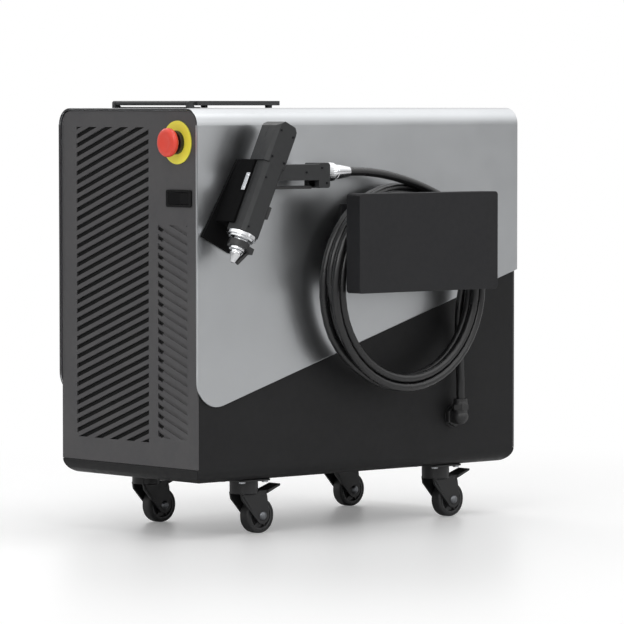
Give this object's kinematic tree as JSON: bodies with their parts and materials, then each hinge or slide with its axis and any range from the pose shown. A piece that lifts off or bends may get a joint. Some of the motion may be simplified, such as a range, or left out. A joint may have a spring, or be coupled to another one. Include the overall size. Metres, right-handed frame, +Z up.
{
  "type": "fiber laser welding machine",
  "caption": "Compact air-cooled handheld laser welder: wheeled cabinet with silver cover, vented front, stop button, flip-up screen, and a welding gun and coiled hose hung on its side.",
  "frame": {"origin": "centre of the machine's footprint, what stands proud of the cabinet included, at floor level", "axes": "+Z up, -X towards the operator's side with the vented front panel, -Y towards the side that carries the gun and hose"},
  "size_m": [0.656, 0.393, 0.6057],
  "materials": {
    "shell_black": "satin black powder coat",
    "cover_silver": "fine silver satin metallic",
    "panel_grey": "fine dark grey powder coat",
    "chassis_steel": "plain zinc-plated sheet",
    "screw_black": "blackened steel",
    "castor_black": "black coated pressed steel",
    "castor_wheel": "matt black tread and hub",
    "castor_axle": "plated bolt",
    "pedal_black": "moulded black nylon",
    "stop_yellow": "moulded yellow, bare of lettering",
    "stop_black": "moulded black",
    "stop_stem": "natural nylon",
    "stop_red": "moulded red",
    "switch_black": "moulded black",
    "screen_black": "fine textured black moulding",
    "screen_glass": "dark touch glass, switched off",
    "hanger_black": "fine dark powder coat",
    "gland_black": "moulded black nylon",
    "holder_black": "moulded black",
    "bright_steel": "bright turned or pressed metal",
    "gun_black": "fine textured dark moulding",
    "gun_trim": "black moulding",
    "core_aluminium": "machined",
    "nozzle_plated": "plated turned copper",
    "hose_black": "smooth black jacket",
    "module_grey": "anodised case",
    "board_green": "circuit board",
    "supply_steel": "plated case",
    "fan_black": "moulded black",
    "valve_brass": "plain brass"
  },
  "bodies": {
    "cabinet": {"base_shell": "shell_black", "cover_top": "cover_silver", "cover_near_side": "cover_silver", "cover_far_side": "cover_silver", "front_panel": "panel_grey", "rear_panel": "panel_grey", "chassis": "chassis_steel", "panel_screws": "screw_black", "caster_plates": "castor_black", "estop_plate": "stop_yellow", "estop_body": "stop_black", "switch_housing": "switch_black", "screen_bracket": "screen_black", "hose_hanger": "hanger_black", "hanger_box": "hanger_black", "hose_gland": "gland_black", "power_gland": "gland_black", "gun_holder": "holder_black", "holder_clip": "bright_steel", "gun_flange": "bright_steel", "nozzle_tube": "bright_steel", "hose_connector": "bright_steel", "gun_shell_inner": "gun_black", "gun_shell_outer": "gun_black", "wire_guide": "gun_trim", "gun_core": "core_aluminium", "heat_sink": "core_aluminium", "nozzle_tip": "nozzle_plated", "hose_run_gun": "hose_black", "hose_coil": "hose_black", "hose_run_body": "hose_black", "laser_module": "module_grey", "control_board": "board_green", "power_supply": "supply_steel", "fan_frames": "fan_black", "gas_valve": "valve_brass", "earth_stud": "valve_brass"},
    "caster_1": {"caster_fork_1": "castor_black", "caster_axle_1": "castor_axle"},
    "wheel_1": {"caster_wheel_1": "castor_wheel"},
    "pedal_1": {"brake_pedal_1": "pedal_black"},
    "caster_2": {"caster_fork_2": "castor_black", "caster_axle_2": "castor_axle"},
    "wheel_2": {"caster_wheel_2": "castor_wheel"},
    "pedal_2": {"brake_pedal_2": "pedal_black"},
    "caster_3": {"caster_fork_3": "castor_black", "caster_axle_3": "castor_axle"},
    "wheel_3": {"caster_wheel_3": "castor_wheel"},
    "pedal_3": {"brake_pedal_3": "pedal_black"},
    "caster_4": {"caster_fork_4": "castor_black", "caster_axle_4": "castor_axle"},
    "wheel_4": {"caster_wheel_4": "castor_wheel"},
    "pedal_4": {"brake_pedal_4": "pedal_black"},
    "estop_plunger": {"estop_stem": "stop_stem"},
    "estop_cap": {"estop_knob": "stop_red"},
    "rocker": {"switch_rocker": "switch_black"},
    "screen": {"screen_housing": "screen_black", "screen_glass": "screen_glass"},
    "trigger": {"gun_trigger": "gun_trim"},
    "drawer": {"lens_drawer": "gun_trim"},
    "rotor_1": {"fan_rotor_1": "fan_black"},
    "rotor_2": {"fan_rotor_2": "fan_black"}
  },
  "joints": [
    {"name": "caster_swivel_1", "type": "hinge", "parent": "cabinet", "child": "caster_1", "pos_m": [-0.184, -0.062, 0.073], "axis": [0, 0, 1], "continuous": true},
    {"name": "wheel_spin_1", "type": "hinge", "parent": "caster_1", "child": "wheel_1", "pos_m": [-0.16, -0.062, 0.025], "axis": [0, 1, 0], "continuous": true},
    {"name": "brake_1", "type": "hinge", "parent": "caster_1", "child": "pedal_1", "pos_m": [-0.158, -0.062, 0.0555], "axis": [0, 1, 0], "range_deg": [0, 14]},
    {"name": "caster_swivel_2", "type": "hinge", "parent": "cabinet", "child": "caster_2", "pos_m": [-0.184, 0.152, 0.073], "axis": [0, 0, 1], "continuous": true},
    {"name": "wheel_spin_2", "type": "hinge", "parent": "caster_2", "child": "wheel_2", "pos_m": [-0.16, 0.152, 0.025], "axis": [0, 1, 0], "continuous": true},
    {"name": "brake_2", "type": "hinge", "parent": "caster_2", "child": "pedal_2", "pos_m": [-0.158, 0.152, 0.0555], "axis": [0, 1, 0], "range_deg": [0, 14]},
    {"name": "caster_swivel_3", "type": "hinge", "parent": "cabinet", "child": "caster_3", "pos_m": [0.186, -0.062, 0.073], "axis": [0, 0, 1], "continuous": true},
    {"name": "wheel_spin_3", "type": "hinge", "parent": "caster_3", "child": "wheel_3", "pos_m": [0.21, -0.062, 0.025], "axis": [0, 1, 0], "continuous": true},
    {"name": "brake_3", "type": "hinge", "parent": "caster_3", "child": "pedal_3", "pos_m": [0.212, -0.062, 0.0555], "axis": [0, 1, 0], "range_deg": [0, 14]},
    {"name": "caster_swivel_4", "type": "hinge", "parent": "cabinet", "child": "caster_4", "pos_m": [0.186, 0.152, 0.073], "axis": [0, 0, 1], "continuous": true},
    {"name": "wheel_spin_4", "type": "hinge", "parent": "caster_4", "child": "wheel_4", "pos_m": [0.21, 0.152, 0.025], "axis": [0, 1, 0], "continuous": true},
    {"name": "brake_4", "type": "hinge", "parent": "caster_4", "child": "pedal_4", "pos_m": [0.212, 0.152, 0.0555], "axis": [0, 1, 0], "range_deg": [0, 14]},
    {"name": "estop_press", "type": "slide", "parent": "cabinet", "child": "estop_plunger", "axis": [1, 0, 0], "range_m": [0, 0.006], "stiffness_N_per_m": 1500},
    {"name": "estop_twist", "type": "hinge", "parent": "estop_plunger", "child": "estop_cap", "pos_m": [-0.318, -0.0625, 0.5485], "axis": [1, 0, 0], "range_deg": [0, 45], "stiffness_Nm_per_rad": 0.3},
    {"name": "power_switch", "type": "hinge", "parent": "cabinet", "child": "rocker", "pos_m": [-0.299, -0.0655, 0.4715], "axis": [0, 0, 1], "range_deg": [-16, 0]},
    {"name": "screen_tilt", "type": "hinge", "parent": "cabinet", "child": "screen", "pos_m": [-0.261, 0.045, 0.6025], "axis": [0, -1, 0], "range_deg": [0, 55]},
    {"name": "trigger_squeeze", "type": "hinge", "parent": "cabinet", "child": "trigger", "pos_m": [-0.215, -0.1485, 0.488], "axis": [0, -1, 0], "range_deg": [0, 5], "stiffness_Nm_per_rad": 3},
    {"name": "drawer_slide", "type": "slide", "parent": "cabinet", "child": "drawer", "axis": [0.9026, 0, -0.4305], "range_m": [0, 0.018]},
    {"name": "fan_spin_1", "type": "hinge", "parent": "cabinet", "child": "rotor_1", "pos_m": [-0.273, 0.087, 0.222], "axis": [1, 0, 0], "continuous": true},
    {"name": "fan_spin_2", "type": "hinge", "parent": "cabinet", "child": "rotor_2", "pos_m": [-0.273, 0.087, 0.382], "axis": [1, 0, 0], "continuous": true}
  ]
}
